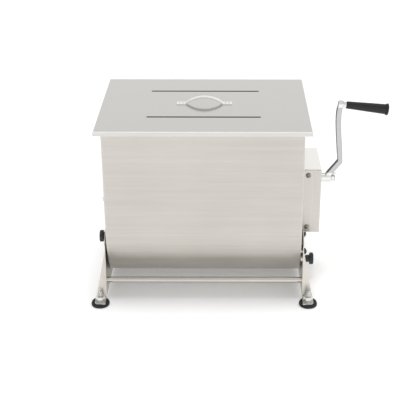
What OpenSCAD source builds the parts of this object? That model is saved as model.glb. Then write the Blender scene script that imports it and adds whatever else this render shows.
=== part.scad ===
// Hand-cranked tilting meat mixer: a U-shaped steel tub with a lift-off lid, a geared paddle shaft,
// and a stand whose two side plates carry the tub on front pivots so that it can be tipped out.
// X runs along the paddle shaft with the crank at +X, Y from the front (-) to the back (+), Z up.
// The origin is on the bench, in the middle of the machine's own box.

/* [Tub] */
// Length of the tub along the paddle shaft
tub_len = 400; // [360:5:440]
// Depth of the tub from front to back
tub_depth = 300; // [280:5:320]
// Height of the straight walls above the shaft's centre line
wall_h = 216; // [200:2:240]
// Gap between the bench and the lowest point of the tub
tub_lift = 18; // [14:1:26]
// Thickness of the tub's sheet
sheet = 1.5; // [1.2:0.1:2]
// Width of the rim folded outwards round the tub's mouth
rim_w = 9; // [6:0.5:10]
// Depth of the rim's turned-down edge
rim_drop = 4; // [3:0.5:6]

/* [Lid] */
// How far the lid reaches past the tub on every side
lid_over = 14; // [13:0.5:18]
// Depth of the lid's folded edge
lid_lip = 9.2; // [7:0.2:14]
// Thickness of the lid's sheet
lid_t = 1.5; // [1.2:0.1:2]
// Outer radius of the folds in the lid and the gear case
fold_r = 2.4; // [1:0.1:4]
// Length of the two feeding slots
slot_len = 229; // [180:1:260]
// Width of the two feeding slots
slot_w = 6; // [5:0.5:9]
// Distance of each slot from the middle of the lid
slot_y = 80; // [60:1:100]
// Span of the lid handle's arch
arch_span = 78; // [70:1:100]
// Height of the finger gap under the arch
arch_rise = 14; // [12:0.5:20]
// Width of the handle strap
strap_w = 15; // [12:0.5:20]
// Thickness of the handle strap
strap_t = 2; // [1.5:0.1:3]
// Length of each foot of the handle strap
strap_foot = 18; // [14:1:24]

/* [Stand] */
// Gap between the tub's ends and the stand's side plates
side_gap = 5; // [5:0.2:7]
// Thickness of the side plates
plate_t = 2; // [1.6:0.1:3]
// Distance of the foot bolts beyond the tub's long walls
foot_reach = 12; // [6:1:22]
// Width of the foot tabs and of the flanges above them
tab_w = 20; // [20:0.5:26]
// Length of the foot tabs
tab_len = 30; // [28:0.5:36]
// Height at which the front edge of a side plate ends under its pivot ear
shoulder_z = 121; // [116:1:124]
// How much further back that shoulder is than the foot of the same edge
edge_rake = 17; // [10:1:24]
// Height of the long top edge of the side plates
side_top_z = 100; // [80:1:104]
// Radius of the ear round each pivot
ear_r = 17; // [16:0.5:20]
// Diameter of the two cross bars
bar_d = 12; // [10:0.5:16]
// Height of the cross bars' centre line
bar_z = 42.5; // [34:0.5:50]
// Distance of the cross bars behind the plates' raked edges
bar_inset = 9.5; // [9:0.5:14]

/* [Feet] */
// Diameter of the rubber feet
pad_d = 38; // [34:1:42]
// Height of the rubber feet
pad_h = 8; // [6:0.5:14]
// Diameter of the foot studs
stud_d = 10; // [8:0.5:10]
// Height of the foot studs above the tabs
stud_rise = 21; // [18:0.5:28]
// Width of the foot nuts across their flats
nut_af = 17; // [15:0.5:17]
// Height of the foot nuts
nut_h = 8.4; // [6:0.2:10]

/* [Tilt pivots and lock] */
// Distance of the tilt axis behind the tub's front wall
pivot_in = 50; // [44:1:54]
// Height of the tilt axis above the bench
pivot_z = 129; // [126:1:134]
// Diameter of the pivot studs
pivot_d = 10; // [9:0.5:12]
// Diameter of the pivot knob and the lock knob
knob_d = 25; // [22:0.5:28]
// Thickness of the knobs' heads
knob_head = 8; // [6:0.5:10]
// Distance of the lock screw behind the tub's front wall
lock_in = 28; // [26:1:30]
// Height of the lock screw above the bench
lock_z = 88; // [86:1:90]
// Diameter of the lock screw
lock_d = 8; // [6:0.5:9]
// Distance of the stop bolt behind the tub's front wall
stop_in = 31; // [30:1:33]
// Height of the stop bolt above the bench
stop_z = 103.5; // [103:0.5:105]

/* [Gear case] */
// Depth of the gear case from the tub's end
case_x = 43.5; // [43:0.5:50]
// Width of the gear case
case_y = 123; // [110:1:130]
// Height of the gear case
case_z = 145; // [142:1:150]
// Height of the gear case's floor above the bench
case_z0 = 118.5; // [117:0.5:122]
// Wall of the gear case
case_t = 1.5; // [1.2:0.1:2]
// Distance of the cover screws from the case's top and bottom edges
screw_inset = 13; // [10:0.5:18]

/* [Gears] */
// Tooth size of both gears, as pitch diameter per tooth
tooth_m = 2; // [1.8:0.05:2.1]
// Number of teeth on the drive gear
gear_n = 35; // [33:1:36]
// Number of teeth on the pinion
pinion_n = 17; // [17:1:19]
// Width of the gears' faces
face_w = 12; // [9:0.5:13]
// Play between meshing teeth, measured along the pitch circle
backlash = 0.4; // [0.3:0.05:0.6]

/* [Shafts and crank] */
// Diameter of the paddle shaft inside the tub
shaft_d = 20; // [18:0.5:24]
// Diameter of the shaft's journal at the gear end
journal_d = 16; // [14:0.5:17]
// Diameter of the shaft's journal at the far end
tail_d = 12; // [10:0.5:13]
// Diameter of the input shaft
input_d = 12; // [10:0.5:13]
// Radial play of every turning fit
fit = 0.05; // [0.02:0.01:0.08]
// Length of the crank's hub
hub_len = 24; // [20:0.5:28]
// Diameter of the crank's hub
hub_d = 18.6; // [17:0.2:22]
// Radius of the crank, from its hub to its eye
crank_r = 165; // [140:1:168]
// Thickness of the crank arm, seen from the front
arm_t = 11; // [9:0.5:13]
// Width of the crank arm, from front to back
arm_w = 13; // [10:0.5:16]
// Sideways reach of the cranked foot of the arm
arm_kick = 25; // [18:1:30]
// Droop of the grip below level
grip_droop = 6.5; // [0:0.5:10]
// Length of the grip
grip_len = 88; // [80:1:110]
// Diameter of the grip where it meets the crank
grip_d1 = 15.4; // [14:0.2:18]
// Diameter of the grip near its outer end
grip_d2 = 21.5; // [18:0.5:24]
// Diameter of the grip's end flange
grip_flange_d = 25; // [24:0.5:28]
// Diameter of the grip's spindle
spindle_d = 8; // [7:0.5:9]

/* [Paddles] */
// Number of paddles along the shaft
paddle_count = 5; // [3:1:5]
// Gap between the paddle tips and the tub's wall
tip_gap = 6; // [4:0.5:10]
// Diameter of the paddle arms
arm_rod_d = 12; // [10:0.5:14]
// Length of each blade along the shaft
blade_len = 74; // [60:1:78]
// Radial depth of each blade
blade_h = 52; // [40:1:60]
// Thickness of the blades
blade_t = 3; // [2:0.5:4]
// Angle at which the blades are set to the shaft
blade_pitch = 35; // [20:1:50]

/* [Hidden] */
$fn = 64;

steel = "lightgray";
bright = "silver";
zinc = "gainsboro";
black = "dimgray";
bronze = "peru";

tub_r = tub_depth / 2;
axis_z = tub_lift + tub_r;
rim_z = axis_z + wall_h;
end_x = tub_len / 2;
seat = 0.3;
lid_top = rim_z + seat + lid_t;

foot_y = tub_r + foot_reach;
pivot_y = tub_r - pivot_in;
lock_y = tub_r - lock_in;
stop_y = tub_r - stop_in;

plate_in = end_x + side_gap;
plate_out = plate_in + plate_t;
tab_z = pad_h;
edge_foot_y = foot_y - tab_len / 2;
edge_angle = atan(edge_rake / (shoulder_z - tab_z));
pad_shift = 0.5;
pad_x = plate_in + (tab_w + plate_t) / 2 + pad_shift;

input_z = axis_z + tooth_m * (gear_n + pinion_n) / 2;
case_top = case_z0 + case_z;
base_t = 2;
case_face = end_x + case_x;
bush_rim = 2;
gear_inset = 10;
gear_x = end_x + base_t + gear_inset;
hub_gap = 0.5;
hub_x = case_face + bush_rim + hub_gap;
hub_end = hub_x + hub_len;
eye_offset = 37;
eye_x = hub_x + eye_offset;
eye_d = 16;
eye_len = 11;
collar_len = 6;
grip_start = eye_len / 2 + collar_len;

grip_edge = 1;
grip_rim_r = grip_flange_d / 2 - grip_edge;
grip_tip_x = eye_x + (grip_start + grip_len) * cos(grip_droop) + grip_rim_r * sin(grip_droop);
mid_x = (grip_tip_x - pad_x - pad_d / 2) / 2;

// Everything is drawn from the middle of the tub and shifted here to the middle of the machine's box.
module in_frame() {
  translate([-mid_x, 0, 0]) children();
}

// Turns a flat drawing, whose x is depth and whose y is height, into a solid that starts at x0.
module along_x(x0, length) {
  translate([x0, 0, 0]) rotate([90, 0, 90]) linear_extrude(length) children();
}

module rod_x(x0, length, d, y = 0, z = 0) {
  translate([x0, y, z]) rotate([0, 90, 0]) cylinder(h = length, d = d);
}

module tube_x(x0, length, d, bore, y = 0, z = 0) {
  difference() {
    rod_x(x0, length, d, y, z);
    rod_x(x0 - 1, length + 2, bore, y, z);
  }
}

// Copies its children to the left side and the right side, or to the front and the back.
module both_ends() {
  children();
  mirror([1, 0, 0]) children();
}

module front_and_back() {
  children();
  mirror([0, 1, 0]) children();
}

// ---------------------------------------------------------------- stand

// The point where a line from p touches the circle round c, on the side that turn picks.
function touch(p, c, r, turn) =
  let (d = norm(p - c), a = atan2(p[1] - c[1], p[0] - c[0]) + turn * acos(r / d))
  [c[0] + r * cos(a), c[1] + r * sin(a)];

pivot = [-pivot_y, pivot_z];
front_foot = [-edge_foot_y, tab_z];
front_shoulder = [-edge_foot_y + edge_rake, shoulder_z];
rear_foot = [edge_foot_y, tab_z];
rear_top = [edge_foot_y - (side_top_z - tab_z) * tan(edge_angle), side_top_z];
saddle = [-pivot_y + 2 * ear_r, side_top_z];

// The edges next to the ear run a little inside its circle, so that they cross it instead of grazing it.
module side_outline() {
  inner_r = ear_r - 0.2;
  polygon([
    front_foot, rear_foot, rear_top, saddle,
    touch(saddle, pivot, inner_r, 1), pivot, touch(front_shoulder, pivot, inner_r, -1),
    front_shoulder
  ]);
  translate(pivot) circle(r = ear_r);
}

flange_top = side_top_z + 8;

// The flange follows the raked edge, is widest at the foot and runs out at its top.
module flange() {
  back = [plate_t / cos(edge_angle), 0];
  top = front_foot + (flange_top - tab_z) * [tan(edge_angle), 1];
  intersection() {
    along_x(plate_in, tab_w + plate_t) polygon([front_foot, front_foot + back, top + back, top]);
    rotate([90, 0, 0]) linear_extrude(foot_y) polygon([
      [plate_in, 0], [plate_out + tab_w, 0], [plate_out + tab_w, tab_z], [plate_out, flange_top],
      [plate_in, flange_top]
    ]);
  }
}

tab_corner = 7;

// The foot tab is bent forward from the flange's lower edge.
module foot_tab() {
  translate([plate_in, -edge_foot_y - tab_len, tab_z]) linear_extrude(plate_t) difference() {
    foot_tab_outline();
    translate([pad_x - plate_in, tab_len / 2]) circle(d = stud_d);
  }
}

module foot_tab_outline() {
  width = tab_w + plate_t;
  length = tab_len + plate_t / 2;
  square([width - tab_corner, length]);
  translate([0, tab_corner]) square([width, length - tab_corner]);
  translate([width - tab_corner, tab_corner]) circle(r = tab_corner);
}

bush_wall = 2.5;
bar_y = edge_foot_y - (bar_z - tab_z) * tan(edge_angle) - bar_inset;

module side_plate(holes) {
  difference() {
    union() {
      along_x(plate_in, plate_t) side_outline();
      front_and_back() {
        flange();
        foot_tab();
      }
    }
    rod_x(plate_in - 1, plate_t + 2, pivot_d + 2 * fit + 2 * bush_wall, -pivot_y, pivot_z);
    front_and_back() rod_x(plate_in - 1, plate_t + 2, bar_d, bar_y, bar_z);
    if (holes) {
      rod_x(plate_in - 1, plate_t + 2, lock_d + 2 * fit, -lock_y, lock_z);
      rod_x(plate_in - 1, plate_t + 2, stop_bolt_d, -stop_y, stop_z);
    }
  }
}

stop_bolt_d = 8;

module side_plate_left() color(steel) in_frame() mirror([1, 0, 0]) side_plate(false);
module side_plate_right() color(steel) in_frame() side_plate(true);

module crossbar(y) {
  rod_x(-plate_out, 2 * plate_out, bar_d, y, bar_z);
}

module front_crossbar() color(bright) in_frame() crossbar(-bar_y);
module rear_crossbar() color(bright) in_frame() crossbar(bar_y);

module at_feet() {
  both_ends() front_and_back() translate([pad_x, -foot_y, 0]) children();
}

stud_root = 4;
washer_t = 2;
washer_d = 21;

// A moulded foot: dished underneath, bulging at its middle, with a flat seat for the tab.
module rubber_foot() {
  r = pad_d / 2;
  dish = 1.2;
  tread_in = r - 5;
  tread_out = r - 1.6;
  bulge = 1;
  bulge_z = pad_h * 0.45;
  rotate_extrude() polygon([
    [0, stud_root], [0, dish], [tread_in - dish, dish], [tread_in, 0], [tread_out, 0],
    [r - bulge / 2, dish], [r, bulge_z], [r - bulge, pad_h - bulge],
    [r - 2 * bulge, pad_h], [stud_d / 2, pad_h], [stud_d / 2, stud_root]
  ]);
}

module rubber_feet() color(black) in_frame() at_feet() rubber_foot();

module foot_studs() color(zinc) in_frame() at_feet() {
  chamfer = 1;
  stud_top = tab_z + plate_t + stud_rise;
  translate([0, 0, stud_root]) cylinder(h = stud_top - chamfer - stud_root, d = stud_d);
  translate([0, 0, stud_top - chamfer]) cylinder(h = chamfer, d1 = stud_d, d2 = stud_d - 2 * chamfer);
}

module foot_washers() color(zinc) in_frame() at_feet() translate([0, 0, tab_z + plate_t])
  difference() {
    cylinder(h = washer_t, d = washer_d);
    translate([0, 0, -1]) cylinder(h = washer_t + 2, d = stud_d);
  }

// A hexagon whose corners are turned off at both faces.
module hexagon(af, height) {
  corner_r = af / 2 / cos(30);
  face_r = af / 2 - 0.2;
  turned = 0.9;
  intersection() {
    cylinder(h = height, r = corner_r, $fn = 6);
    rotate_extrude() polygon([
      [0, 0], [face_r, 0], [corner_r, turned], [corner_r, height - turned], [face_r, height],
      [0, height]
    ]);
  }
}

module hex_nut(af, height, bore) {
  difference() {
    hexagon(af, height);
    translate([0, 0, -1]) cylinder(h = height + 2, d = bore);
  }
}

module foot_nuts() color(zinc) in_frame() at_feet() translate([0, 0, tab_z + plate_t + washer_t])
  hex_nut(nut_af, nut_h, stud_d);

// ---------------------------------------------------------------- tilt pivots, stop and lock

bush_bore = pivot_d + 2 * fit;
bush_head = 1;

module pivot_bush() {
  tube_x(plate_in, plate_t, bush_bore + 2 * bush_wall, bush_bore, -pivot_y, pivot_z);
  tube_x(plate_in - bush_head, bush_head, bush_bore + 4 * bush_wall, bush_bore, -pivot_y, pivot_z);
}

module pivot_bushes() color(bronze) in_frame() both_ends() pivot_bush();

button_d = 11;
button_gap = 0.5;
button_y = pivot_y + 24;
button_z = pivot_z - 3.5;
button_bevel = 1;

// A low button on each side plate that keeps the tub from rubbing on it.
module guide_buttons() color(bronze) in_frame() both_ends() {
  length = side_gap - button_gap;
  translate([plate_in - length, -button_y, button_z]) rotate([0, 90, 0]) {
    cylinder(h = button_bevel, d1 = button_d - 2 * button_bevel, d2 = button_d);
    translate([0, 0, button_bevel]) cylinder(h = length - button_bevel, d = button_d);
  }
}

tub_clear = 1;
stop_reach = side_gap - tub_clear;
cap_d = 14.4;
cap_len = 6.5;
cap_wall = 2;
cap_rim = 2;

module stop_bolt() color(zinc) in_frame()
  rod_x(plate_in - stop_reach, stop_reach + plate_t + cap_len - cap_wall, stop_bolt_d, -stop_y, stop_z);

// A disc with a straight rim and a spherical top.
module dome(d, height, rim) {
  rise = height - rim;
  dome_r = (pow(d / 2, 2) + pow(rise, 2)) / (2 * rise);
  cylinder(h = rim, d = d);
  intersection() {
    translate([0, 0, height - dome_r]) sphere(r = dome_r);
    translate([0, 0, rim]) cylinder(h = height, d = d);
  }
}

// A domed cap over the outer end of the stop bolt.
module stop_bolt_cap() color(black) in_frame()
  translate([plate_out, -stop_y, stop_z]) rotate([0, 90, 0]) difference() {
    dome(cap_d, cap_len, cap_rim);
    translate([0, 0, -1]) cylinder(h = cap_len - cap_wall + 1, d = stop_bolt_d);
  }

lug_y = 8;
lug_z = 11;
lug_clear = 1.5;

// The lug on the tub's end that comes to rest on the stop bolt when the tub stands upright.
module stop_lug() color(steel) in_frame()
  translate([end_x, -stop_y + stop_bolt_d / 2 + seat, stop_z - lug_z / 2])
    cube([side_gap - lug_clear, lug_y, lug_z]);

lock_bush_d = 13.5;
tip_gap_x = 0.6;
lock_collar = 3.6;
lock_hub_d = 15;
lock_hub = 8.4;

module lock_bush() color(steel) in_frame()
  tube_x(end_x + tub_clear, side_gap - tub_clear, lock_bush_d, lock_d + 2 * fit, -lock_y, lock_z);

module lock_screw() color(zinc) in_frame()
  rod_x(end_x + tip_gap_x, side_gap - tip_gap_x + plate_t + lock_collar + lock_hub, lock_d, -lock_y, lock_z);

// A hand knob with a round hub and a lobed head that faces +Z, bored from below.
module hand_knob(hub_h, hub_dia, head_h, head_dia, bore, depth) {
  lobes = 8;
  flute = head_dia * 0.09;
  edge = 1.2;
  dish = 0.6;
  difference() {
    union() {
      cylinder(h = hub_h, d = hub_dia);
      translate([0, 0, hub_h]) rotate_extrude() polygon([
        [0, 0], [head_dia / 2 - edge, 0], [head_dia / 2, edge], [head_dia / 2, head_h - edge],
        [head_dia / 2 - edge, head_h], [hub_dia / 2, head_h], [hub_dia / 2 - dish, head_h - dish],
        [0, head_h - dish]
      ]);
    }
    for (i = [0 : lobes - 1]) rotate([0, 0, (i + 0.5) * 360 / lobes])
      translate([head_dia / 2 + flute * 0.45, 0, hub_h - 1]) cylinder(h = head_h + 2, r = flute);
    translate([0, 0, -1]) cylinder(h = depth + 1, d = bore);
  }
}

module lock_knob() color(black) in_frame()
  translate([plate_out + lock_collar, -lock_y, lock_z]) rotate([0, 90, 0])
  hand_knob(lock_hub, lock_hub_d, knob_head, knob_d, lock_d, lock_hub);

pivot_foot_t = 1.5;
pivot_foot_d = 30;
spacer_w = 5;
knob_gap = 0.4;
knob_hub = 2.8;
knob_hub_d = 16;
stud_into_knob = 7;

module pivot_stud(outer) {
  rod_x(end_x, pivot_foot_t, pivot_foot_d, -pivot_y, pivot_z);
  rod_x(end_x + pivot_foot_t, outer - end_x - pivot_foot_t, pivot_d, -pivot_y, pivot_z);
}

module pivot_studs() color(zinc) in_frame() {
  pivot_stud(plate_out);
  mirror([1, 0, 0]) pivot_stud(plate_out + stud_into_knob);
}

// A washer on each stud between the tub and the head of the pivot bush.
module pivot_spacers() color(bronze) in_frame() both_ends()
  tube_x(end_x + pivot_foot_t, side_gap - pivot_foot_t - bush_head - seat, pivot_d + 2 * spacer_w,
    pivot_d, -pivot_y, pivot_z);

module pivot_knob() color(black) in_frame() mirror([1, 0, 0])
  translate([plate_out + knob_gap, -pivot_y, pivot_z]) rotate([0, 90, 0])
  hand_knob(knob_hub, knob_hub_d, knob_head, knob_d, pivot_d + 2 * fit, stud_into_knob);

// ---------------------------------------------------------------- tub

module u_outline(inset) {
  r = tub_r - inset;
  translate([0, axis_z]) circle(r = r, $fn = 128);
  translate([-r, axis_z]) square([2 * r, wall_h]);
}

// The long walls and the round floor are one folded sheet, whose top edges turn out and down.
module tub_shell() color(steel) in_frame() {
  along_x(-end_x + sheet, tub_len - 2 * sheet) difference() {
    u_outline(0);
    u_outline(sheet);
    translate([-tub_r, rim_z - sheet]) square([tub_depth, 2 * sheet]);
  }
  along_x(-end_x + sheet, tub_len - 2 * sheet) for (side = [0, 1]) mirror([side, 0])
    translate([tub_r - sheet, rim_z - sheet]) square([sheet + rim_w, sheet]);
  along_x(-end_x - rim_w, tub_len + 2 * rim_w) for (side = [0, 1]) mirror([side, 0])
    translate([tub_r + rim_w - sheet, rim_z - rim_drop]) square([sheet, rim_drop]);
}

// Each end of the tub is a flat plate whose top edge turns out and down like the long walls'.
module end_plate() {
  difference() {
    union() {
      along_x(end_x - sheet, sheet) u_outline(0);
      translate([end_x - sheet, sheet - tub_r - rim_w, rim_z - sheet])
        cube([rim_w + sheet, tub_depth + 2 * rim_w - 2 * sheet, sheet]);
      translate([end_x + rim_w - sheet, sheet - tub_r - rim_w, rim_z - rim_drop])
        cube([sheet, tub_depth + 2 * rim_w - 2 * sheet, rim_drop]);
    }
    rod_x(end_x - sheet - 1, sheet + 2, bearing_d, 0, axis_z);
  }
}

bearing_d = 26;

module end_plate_left() color(steel) in_frame() mirror([1, 0, 0]) end_plate();
module end_plate_right() color(steel) in_frame() end_plate();

// ---------------------------------------------------------------- lid

// A rectangle that stands on the x axis, with its two upper corners rounded.
module arch(w, h, r) {
  translate([-w / 2, 0]) square([w, h - r]);
  translate([r - w / 2, 0]) square([w - 2 * r, h]);
  for (side = [-1, 1]) translate([side * (w / 2 - r), h - r]) circle(r = r);
}

module rounded_plan(w, d, r) {
  square([w, d - 2 * r], center = true);
  square([w - 2 * r, d], center = true);
  for (x = [-1, 1], y = [-1, 1]) translate([x * (w / 2 - r), y * (d / 2 - r)]) circle(r = r);
}

// A block with every edge rounded but the lowest four, like the outside of a tray folded from sheet.
module folded_block(w, d, h, r) {
  intersection() {
    linear_extrude(h) rounded_plan(w, d, r);
    translate([0, d / 2, 0]) rotate([90, 0, 0]) linear_extrude(d) arch(w, h, r);
    along_x(-w / 2, w) arch(d, h, r);
  }
}

module folded_tray(w, d, h, r, t) {
  difference() {
    folded_block(w, d, h, r);
    translate([t - w / 2, t - d / 2, -1]) cube([w - 2 * t, d - 2 * t, h + 1 - t]);
  }
}

// A shallow inverted tray with two long slots for feeding spice and liquid while mixing.
module lid_sheet() color(bright) in_frame() difference() {
  translate([0, 0, lid_top - lid_lip])
    folded_tray(tub_len + 2 * lid_over, tub_depth + 2 * lid_over, lid_lip, fold_r, lid_t);
  for (side = [-1, 1]) translate([-slot_len / 2, side * slot_y - slot_w / 2, lid_top - lid_t - 1])
    cube([slot_len, slot_w, lid_t + 2]);
}

// One bent strap: an arch for the fingers between two flat feet spot-welded to the lid.
module lid_handle() color(bright) in_frame() translate([0, strap_w / 2, lid_top]) rotate([90, 0, 0])
  linear_extrude(strap_w) {
    half = arch_span / 2;
    arch_r = (half * half + arch_rise * arch_rise) / (2 * arch_rise);
    difference() {
      translate([0, arch_rise - arch_r]) circle(r = arch_r + strap_t, $fn = 128);
      translate([0, arch_rise - arch_r]) circle(r = arch_r, $fn = 128);
      translate([-2 * arch_r, -4 * arch_r]) square([4 * arch_r, 4 * arch_r]);
    }
    for (side = [0, 1]) mirror([side, 0]) translate([half, 0]) square([strap_foot, strap_t]);
  }

// ---------------------------------------------------------------- bearings

housing_d = 56;
housing_t = 4;
housing_len = 15;
housing_boss_d = 30;
tail_bush_d = 18;
bearing_screw_d = 5;
bearing_screw_head = 3.2;
bearing_screw_pcd = 44;
bearing_screw_count = 3;

// The bearing at the far end: a round flange with a boss, held by three screws.
module bearing_housing() color(bright) in_frame() mirror([1, 0, 0]) difference() {
  union() {
    rod_x(end_x, housing_t, housing_d, 0, axis_z);
    rod_x(end_x + housing_t, housing_len - housing_t, housing_boss_d, 0, axis_z);
    rod_x(end_x - sheet, sheet, bearing_d, 0, axis_z);
  }
  rod_x(end_x - sheet - 1, housing_len + sheet + 2, tail_bush_d, 0, axis_z);
  at_bearing_screws() rod_x(end_x - 1, housing_t + 2, bearing_screw_d);
}

module at_bearing_screws() {
  translate([0, 0, axis_z]) for (i = [0 : bearing_screw_count - 1])
    rotate([90 + i * 360 / bearing_screw_count, 0, 0]) translate([0, bearing_screw_pcd / 2, 0]) children();
}

module bearing_screws() color(zinc) in_frame() mirror([1, 0, 0]) at_bearing_screws()
  translate([end_x, 0, 0]) rotate([0, 90, 0]) {
    cylinder(h = housing_t, d = bearing_screw_d);
    translate([0, 0, housing_t]) pan_head(2 * bearing_screw_d, bearing_screw_head);
  }

// A low domed screw head with a cross recess.
module pan_head(d, height) {
  recess_l = d * 0.56;
  recess_w = d * 0.12;
  difference() {
    dome(d, height, height * 0.35);
    for (turn = [0, 90]) rotate([0, 0, turn])
      translate([-recess_l / 2, -recess_w / 2, height * 0.45]) cube([recess_l, recess_w, height]);
  }
}

module tail_bush() color(bronze) in_frame() mirror([1, 0, 0])
  tube_x(end_x - sheet, housing_len + sheet, tail_bush_d, tail_d + 2 * fit, 0, axis_z);

collar_t = 3;
collar_w = 4;

module journal_bush() color(bronze) in_frame() {
  bore = journal_d + 2 * fit;
  tube_x(end_x - sheet, sheet + base_t, bearing_d, bore, 0, axis_z);
  tube_x(end_x + base_t, collar_t, bearing_d + 2 * collar_w, bore, 0, axis_z);
}

seal_t = 3;
seal_d = bearing_d + 6;

// A soft ring inside each end of the tub keeps meat out of the bearing.
module shaft_seals() color(black) in_frame() {
  tube_x(end_x - sheet - seal_t, seal_t, seal_d, journal_d + 2 * fit, 0, axis_z);
  mirror([1, 0, 0]) tube_x(end_x - sheet - seal_t, seal_t, seal_d, tail_d + 2 * fit, 0, axis_z);
}

// ---------------------------------------------------------------- paddle shaft

end_play = 1;
shaft_end = end_x - sheet - seal_t - end_play;
tail_end = end_x + housing_len + end_play;
gear_hub_len = 9;
nose_past_hub = 2;
shaft_nose = gear_x + face_w + gear_hub_len + nose_past_hub;
tail_screw_d = 6;
tail_screw_len = 18;
tail_head_af = 10;
tail_head_h = 4.5;

module paddle_shaft() color(bright) in_frame() difference() {
  union() {
    rod_x(-shaft_end, 2 * shaft_end, shaft_d, 0, axis_z);
    rod_x(shaft_end, shaft_nose - shaft_end, journal_d, 0, axis_z);
    rod_x(-tail_end, tail_end - shaft_end, tail_d, 0, axis_z);
  }
  rod_x(-tail_end - 1, tail_screw_len + 1, tail_screw_d, 0, axis_z);
  translate([gear_pin_x, 0, axis_z]) cylinder(h = shaft_d, d = gear_pin_d, center = true);
}

blade_tip_r = tub_r - sheet - tip_gap;
blade_root_r = blade_tip_r - blade_h;
paddle_step = (2 * shaft_end - blade_len) / paddle_count;

module at_paddles() {
  for (i = [0 : paddle_count - 1])
    translate([(i - (paddle_count - 1) / 2) * paddle_step, 0, axis_z]) rotate([45 + 90 * i, 0, 0]) children();
}

// The arms reach to a little short of the middle of their blades.
module arm_rod() {
  cylinder(h = blade_root_r + blade_h * 0.45, d = arm_rod_d);
}

module paddle_arms() color(bright) in_frame() difference() {
  at_paddles() arm_rod();
  rod_x(-end_x, tub_len, shaft_d, 0, axis_z);
}

// Each blade is a flat plate with clipped inner corners and an outer edge that follows the tub's wall.
module blade() {
  clip = blade_h * 0.4;
  rotate([90, 0, blade_pitch]) translate([0, 0, -blade_t / 2]) linear_extrude(blade_t) polygon([
    [-blade_len / 2, blade_root_r + clip], [-blade_len / 2 + clip, blade_root_r],
    [blade_len / 2 - clip, blade_root_r], [blade_len / 2, blade_root_r + clip],
    [blade_len / 2, tub_r], [-blade_len / 2, tub_r]
  ]);
}

module paddle_blades() color(bright) in_frame() intersection() {
  at_paddles() difference() {
    blade();
    arm_rod();
  }
  rod_x(-end_x, tub_len, 2 * blade_tip_r, 0, axis_z);
}

tail_washer_t = 1.6;
tail_washer_d = 18;

module tail_washer() color(zinc) in_frame() mirror([1, 0, 0])
  tube_x(tail_end, tail_washer_t, tail_washer_d, tail_screw_d, 0, axis_z);

module tail_screw() color(zinc) in_frame() mirror([1, 0, 0]) {
  rod_x(tail_end - tail_screw_len, tail_screw_len + tail_washer_t, tail_screw_d, 0, axis_z);
  translate([tail_end + tail_washer_t, 0, axis_z]) rotate([0, 90, 0]) hexagon(tail_head_af, tail_head_h);
}

// ---------------------------------------------------------------- gears

pressure = 20;

// Angle, in degrees, that the involute has unwound at radius rho from a base circle of radius rb.
function unwound(rb, rho) = let (a = acos(min(1, rb / rho))) tan(a) * 180 / PI - a;

// Half of one tooth's angle at radius rho.
function half_tooth(n, m, rho) =
  let (r = n * m / 2, rb = r * cos(pressure), at_pitch = (PI * m / 2 - backlash / 2) / (2 * r) * 180 / PI)
  at_pitch + unwound(rb, r) - unwound(rb, max(rb, rho));

function polar(r, a) = [r * cos(a), r * sin(a)];

flank_steps = 4;

// A spur gear's outline, with one tooth pointing up.
function gear_outline(n, m) =
  let (r = n * m / 2, root = r - 1.25 * m, tip = r + m, start = max(root + 0.3, r * cos(pressure)))
  [for (i = [0 : n - 1]) let (mid = 90 + i * 360 / n) each concat(
    [polar(root, mid - half_tooth(n, m, start) - 0.3)],
    [for (k = [0 : flank_steps]) let (rho = start + (tip - start) * k / flank_steps)
      polar(rho, mid - half_tooth(n, m, rho))],
    [for (k = [flank_steps : -1 : 0]) let (rho = start + (tip - start) * k / flank_steps)
      polar(rho, mid + half_tooth(n, m, rho))],
    [polar(root, mid + half_tooth(n, m, start) + 0.3)]
  )];

gear_hub_d = 34;
gear_pin_d = 4;
gear_pin_x = gear_x + face_w + gear_hub_len / 2;
hole_count = 6;
hole_web = 2.5;

// The large gear, lightened by a ring of holes and pinned to the shaft through its hub.
module drive_gear() color(bright) in_frame() {
  root_r = tooth_m * (gear_n / 2 - 1.25);
  hole_r = (root_r + gear_hub_d / 2) / 2;
  difference() {
    union() {
      translate([0, 0, axis_z]) along_x(gear_x, face_w) polygon(gear_outline(gear_n, tooth_m));
      rod_x(gear_x + face_w, gear_hub_len, gear_hub_d, 0, axis_z);
    }
    rod_x(gear_x - 1, face_w + gear_hub_len + 2, journal_d, 0, axis_z);
    translate([0, 0, axis_z]) for (i = [0 : hole_count - 1]) rotate([i * 360 / hole_count, 0, 0])
      rod_x(gear_x - 1, face_w + 2, root_r - gear_hub_d / 2 - 2 * hole_web, hole_r);
    translate([gear_pin_x, 0, axis_z]) cylinder(h = gear_hub_d + 2, d = gear_pin_d, center = true);
  }
}

module gear_pin() color(zinc) in_frame() translate([gear_pin_x, 0, axis_z])
  cylinder(h = gear_hub_d, d = gear_pin_d, center = true);

pinion_hub_d = 22;
pinion_hub_len = 8;
pinion_pin_d = 3;
pinion_pin_x = gear_x + face_w + pinion_hub_len / 2;

module pinion() color(bright) in_frame() difference() {
  union() {
    translate([0, 0, input_z]) along_x(gear_x, face_w) polygon(gear_outline(pinion_n, tooth_m));
    rod_x(gear_x + face_w, pinion_hub_len, pinion_hub_d, 0, input_z);
  }
  rod_x(gear_x - 1, face_w + pinion_hub_len + 2, input_d, 0, input_z);
  translate([pinion_pin_x, 0, input_z]) cylinder(h = pinion_hub_d + 2, d = pinion_pin_d, center = true);
}

module pinion_pin() color(zinc) in_frame() translate([pinion_pin_x, 0, input_z])
  cylinder(h = pinion_hub_d, d = pinion_pin_d, center = true);

// ---------------------------------------------------------------- gear case

boss_d = 26;
boss_len = 6;
cover_gap = 0.5;
lip_w = 22;
screw_x = end_x + 16;
screw_d = 5;
screw_head_h = 3.4;
screw_past_lip = 3;
lip_y = case_y / 2 - case_t;

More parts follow.
